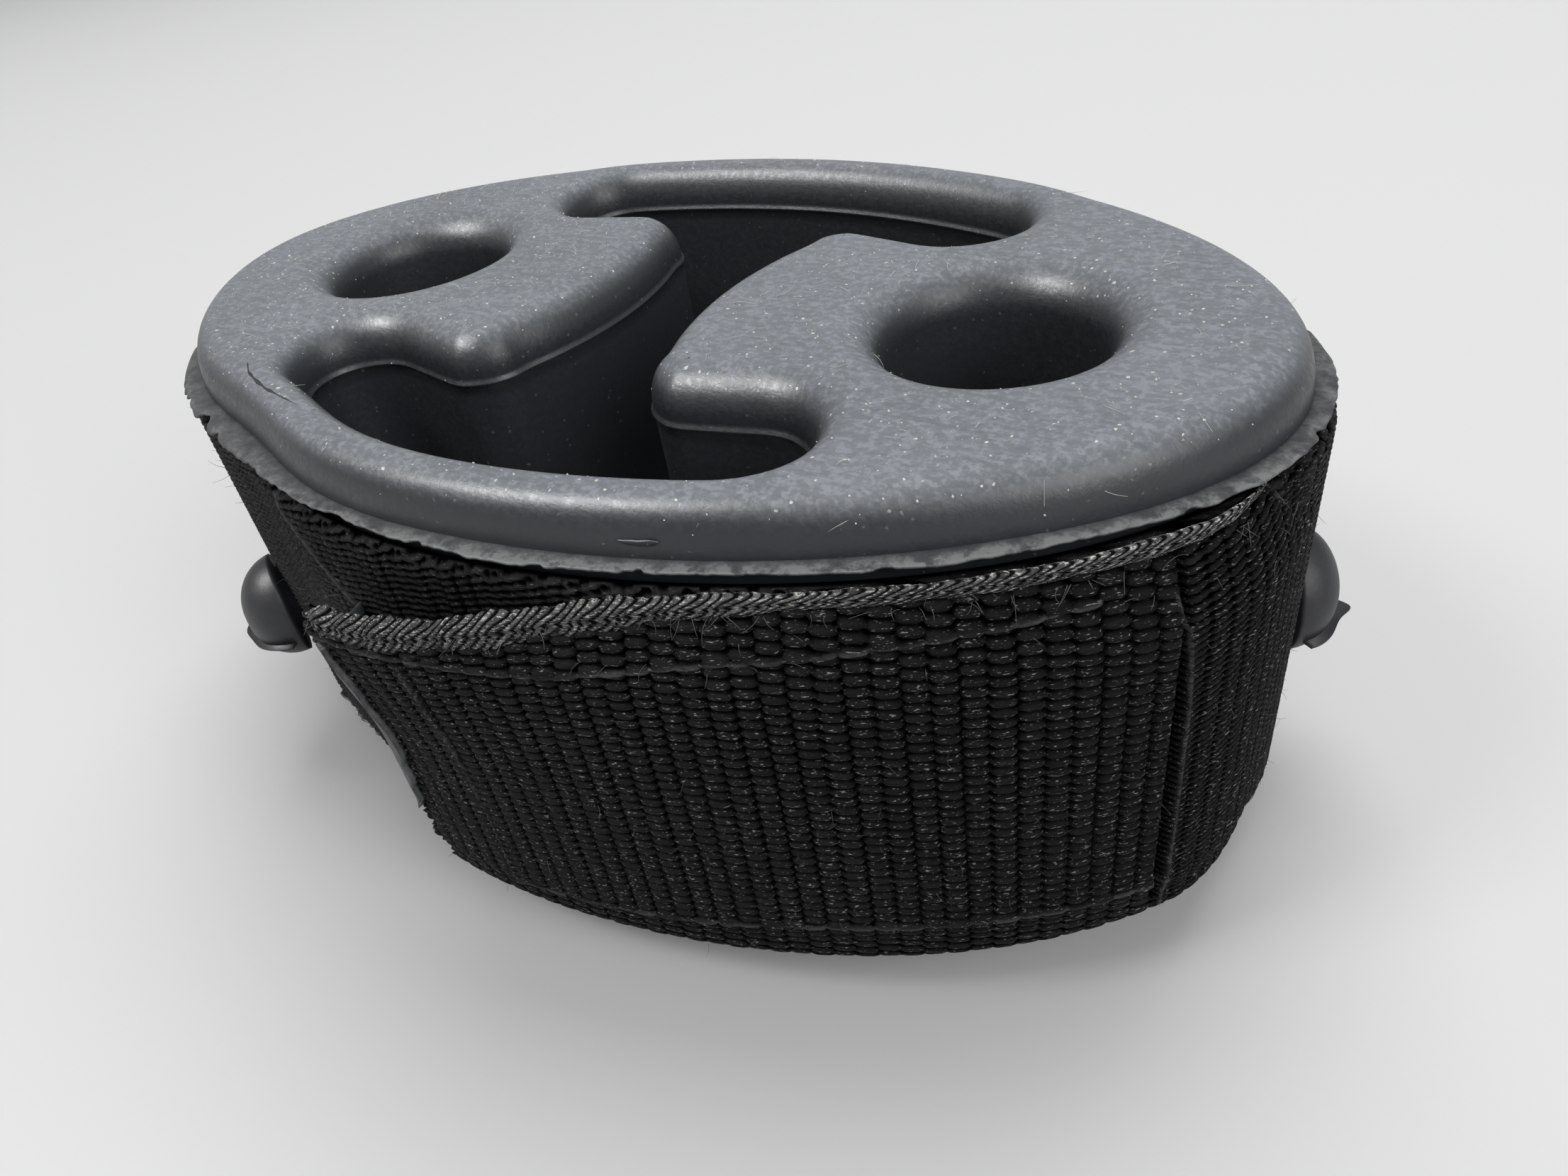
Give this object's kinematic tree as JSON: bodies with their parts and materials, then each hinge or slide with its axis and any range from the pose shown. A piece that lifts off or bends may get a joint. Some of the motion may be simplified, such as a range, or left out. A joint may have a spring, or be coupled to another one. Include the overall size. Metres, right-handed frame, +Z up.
{
  "type": "exhaust hanger rubber",
  "caption": "Oval moulded rubber exhaust hanger with bores for hanger rods, a slotted middle with bump-stop lobes, and a woven webbing band bonded round its side.",
  "frame": {"origin": "on the surface the part stands on, under the middle of the whole part", "axes": "+Z up along the bores, +X from one bore to the other, +Y across"},
  "size_m": [0.0798, 0.054, 0.0317],
  "materials": {
    "rubber": "dusty satin moulded rubber with fine pale specks",
    "webbing": "worn black woven webbing with a frayed edge"
  },
  "bodies": {
    "root": {"rubber_body": "rubber", "webbing_band": "webbing"}
  },
  "joints": []
}
